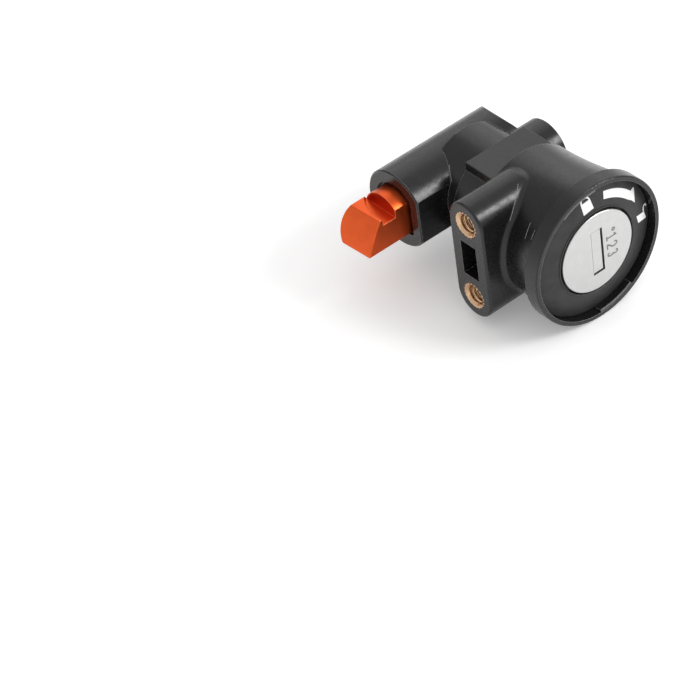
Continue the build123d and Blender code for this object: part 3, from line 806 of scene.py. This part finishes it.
class LOCK_OT_add_stamp(bpy.types.Operator):
    """Stamp a small ring and plain digits into the cap beside the keyhole"""
    bl_idname = "battery_lock.add_stamp"
    bl_label = "Add the stamped digits"

    # Strokes of each digit in a box one wide and one high, with its foot at zero
    strokes = {
        "1": [[(0.15, 0.75), (0.5, 1.0), (0.5, 0.0)], [(0.15, 0.0), (0.85, 0.0)]],
        "2": [arc_points((0.5, 0.68), 0.32, 170, -35, 12) + [(0.1, 0.0)],
              [(0.1, 0.0), (0.9, 0.0)]],
        "3": [arc_points((0.48, 0.75), 0.25, 160, -85, 11),
              arc_points((0.48, 0.26), 0.27, 85, -160, 12)],
    }

    def execute(self, context):
        signs = context.scene.lock_signs
        low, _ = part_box("face_disc")
        glyph_high, glyph_wide, pitch = 2.45 * MM, 1.55 * MM, 2.05 * MM
        foot_x, first_z = 2.45 * MM, 2.35 * MM
        ring_centre, ring_radius, ring_points = (4.25 * MM, 3.1 * MM), 0.3 * MM, 19
        # The strokes are darker grey plates laid on the cap: painted shade of stamped grooves, in a
        # tone that varies at random
        darkest, middle, lightest = (0.17, 0.17, 0.17), (0.22, 0.22, 0.22), (0.26, 0.26, 0.26)
        strips = []
        for number, digit in enumerate(signs.digits):
            digit_z = first_z - number * pitch
            for line in self.strokes[digit]:
                points = [(foot_x + v * glyph_high, digit_z - u * glyph_wide) for u, v in line]
                strips.append(stroke_rails(points, signs.stroke_width))
        ring = arc_points(ring_centre, ring_radius, 0, 360, ring_points)
        strips.append(stroke_rails(ring, signs.stroke_width))
        shade = new_material("stamp_shade", middle, roughness=0.5, metallic=1.0)
        vary_colour(shade, noise(shade, size=0.2 * MM), darkest, lightest)
        mesh = inlay_mesh("cap_stamp", strips, lambda x, z: low.y, lift=0.006 * MM, sink=0.03 * MM)
        piece("cap_stamp", mesh, shade, "plug")
        return {"FINISHED"}


class LOCK_OT_add_springs(bpy.types.Operator):
    """Wind the springs from round wire"""
    bl_idname = "battery_lock.add_springs"
    bl_label = "Add the springs"

    # The bolt's slide ends at 6.55 mm; its spring is squashed a hair more and never bites
    bolt_spring_squash = 6.56 * MM

    def execute(self, context):
        steel = drawn_metal("spring_wire", (0.6, 0.6, 0.6), roughness=0.28,
                            line_width=0.08 * MM, stretch=(1, 1, 6), depth=0.001 * MM)
        # Name, body, the axis it lies along, half the wire's thickness and turns
        springs = [("bolt_spring", "lock_body", 0, 0.2 * MM, 9),
                   ("shutter_spring", "plug", 2, 0.07 * MM, 8)]
        springs += [(name, "plug", 2, 0.11 * MM, 5)
                    for name in sorted(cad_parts) if name.startswith("wafer_spring")]
        for name, body, axis, wire, turns in springs:
            low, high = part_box(name)
            centre = (low + high) / 2
            direction = Vector([1.0 if i == axis else 0.0 for i in range(3)])
            start = centre.copy()
            start[axis] = low[axis]
            radius = (high.y - low.y) / 2 - wire
            mesh = coil_mesh(name + "_round", start, direction, Vector((0, 1, 0)), radius, wire,
                             high[axis] - low[axis], turns)
            coil = piece(name + "_round", mesh, steel, body)
            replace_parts(coil, name)
            if name == "bolt_spring":
                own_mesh(coil)
        return {"FINISHED"}


class LOCK_OT_set_stage(bpy.types.Operator):
    """Lay the pale floor, hang the soft lights and place the camera"""
    bl_idname = "battery_lock.set_stage"
    bl_label = "Set the stage"

    # Each light's size across and its place
    front_size, front_place = 0.2, (0.284, -0.362, 0.352)
    back_size, back_place = 0.6, (0.46, 0.444, 0.482)
    lights_aim = (0, 0.02, 0)

    # The surround is grey round this direction; the grey starts and is full at these cosines
    # of the angle to it
    grey_direction = (-0.163, 0.925, 0.342)
    grey_start, grey_full = 0.78, 0.95

    camera_place = (-0.29080397, -0.34956402, 0.38196951)
    camera_turn = (0.84874987, 0.40333529, -0.08701007, -0.33071672)

    def execute(self, context):
        stage = context.scene.lock_stage
        scene = context.scene
        self.lay_floor(stage, scene)
        self.hang("front_light", stage.front_power, self.front_size, self.front_place, scene)
        self.hang("back_light", stage.back_power, self.back_size, self.back_place, scene)
        scene.world = self.surround(stage)
        scene.camera = self.camera(stage, scene)
        scene.view_settings.view_transform = "Standard"
        return {"FINISHED"}

    def lay_floor(self, stage, scene):
        """Wide flat floor just under the lock."""
        half_size, gap, cloud_size = 3.0, 0.05 * MM, 20 * MM
        low = cad_box[0]
        paint = new_material("floor_paint", stage.floor_colour, roughness=0.8)
        cloud_colour(paint, stage.floor_colour, cloud_size, darkest=0.995, lightest=1.0)
        shader = shader_of(paint)
        shader.inputs["Emission Color"].default_value = (1, 1, 1, 1)
        shader.inputs["Emission Strength"].default_value = stage.floor_glow
        mesh = bpy.data.meshes.new("floor")
        bm = bmesh.new()
        bmesh.ops.create_grid(bm, x_segments=4, y_segments=4, size=half_size)
        bm.to_mesh(mesh)
        bm.free()
        mesh.materials.append(paint)
        ground = bpy.data.objects.new("floor", mesh)
        ground.location = (0, 0, low[2] - gap)
        scene.collection.objects.link(ground)

    def hang(self, name, power, size, place, scene):
        """Soft square light that faces the lock."""
        lamp = bpy.data.lights.new(name, "AREA")
        lamp.energy = power
        lamp.size = size
        holder = bpy.data.objects.new(name, lamp)
        holder.location = place
        towards = Vector(self.lights_aim) - Vector(place)
        holder.rotation_euler = towards.to_track_quat("-Z", "Y").to_euler()
        scene.collection.objects.link(holder)

    def surround(self, stage):
        """White studio with one soft grey side, low behind the lock."""
        world = bpy.data.worlds.new("white_surround")
        world.use_nodes = True
        nodes, links = world.node_tree.nodes, world.node_tree.links
        place = nodes.new("ShaderNodeTexCoord")
        towards = nodes.new("ShaderNodeVectorMath")
        towards.operation = "DOT_PRODUCT"
        towards.inputs[1].default_value = self.grey_direction
        links.new(place.outputs["Generated"], towards.inputs[0])
        fade = nodes.new("ShaderNodeMapRange")
        fade.interpolation_type = "SMOOTHSTEP"
        fade.inputs["From Min"].default_value = self.grey_start
        fade.inputs["From Max"].default_value = self.grey_full
        fade.inputs["To Min"].default_value = stage.surround
        fade.inputs["To Max"].default_value = stage.grey_side
        links.new(towards.outputs["Value"], fade.inputs["Value"])
        links.new(fade.outputs["Result"], nodes["Background"].inputs["Strength"])
        nodes["Background"].inputs["Color"].default_value = (1, 1, 1, 1)
        return world

    def camera(self, stage, scene):
        """Camera at the photo's angle and framing."""
        lens = bpy.data.cameras.new("camera")
        lens.lens = stage.lens
        lens.sensor_width = 36.0
        lens.clip_start = 0.01
        holder = bpy.data.objects.new("camera", lens)
        holder.location = self.camera_place
        holder.rotation_mode = "QUATERNION"
        holder.rotation_quaternion = self.camera_turn
        scene.collection.objects.link(holder)
        return holder


class LOCK_PT_panel(bpy.types.Panel):
    """Every setting and step of the lock in the sidebar"""
    bl_idname = "LOCK_PT_panel"
    bl_label = "Battery lock"
    bl_space_type = "VIEW_3D"
    bl_region_type = "UI"
    bl_category = "Battery lock"

    def draw(self, context):
        scene = context.scene
        for group in (scene.lock_plastic, scene.lock_metal, scene.lock_signs, scene.lock_stage):
            box = self.layout.box()
            for name in group.__annotations__:
                box.prop(group, name)
        for operator in OPERATORS:
            self.layout.operator(operator.bl_idname)


GROUPS = {
    "lock_plastic": PlasticSettings,
    "lock_metal": MetalSettings,
    "lock_signs": SignSettings,
    "lock_stage": StageSettings,
}
OPERATORS = (
    LOCK_OT_finish_plastic,
    LOCK_OT_finish_metal,
    LOCK_OT_add_inserts,
    LOCK_OT_add_signs,
    LOCK_OT_add_mould_lines,
    LOCK_OT_add_stamp,
    LOCK_OT_add_springs,
    LOCK_OT_set_stage,
)


def register():
    """Makes the settings, the operators and the panel known."""
    for group_name, group in GROUPS.items():
        bpy.utils.register_class(group)
        setattr(bpy.types.Scene, group_name, bpy.props.PointerProperty(type=group))
    for operator in OPERATORS:
        bpy.utils.register_class(operator)
    bpy.utils.register_class(LOCK_PT_panel)


def unregister():
    """Takes them away again, in the opposite order."""
    bpy.utils.unregister_class(LOCK_PT_panel)
    for operator in reversed(OPERATORS):
        bpy.utils.unregister_class(operator)
    for group_name, group in reversed(GROUPS.items()):
        delattr(bpy.types.Scene, group_name)
        bpy.utils.unregister_class(group)


def main():
    """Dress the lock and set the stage."""
    register()
    bpy.ops.battery_lock.finish_plastic()
    bpy.ops.battery_lock.finish_metal()
    bpy.ops.battery_lock.add_inserts()
    bpy.ops.battery_lock.add_signs()
    bpy.ops.battery_lock.add_mould_lines()
    bpy.ops.battery_lock.add_stamp()
    bpy.ops.battery_lock.add_springs()
    bpy.ops.battery_lock.set_stage()


if __name__ == "__main__":
    main()
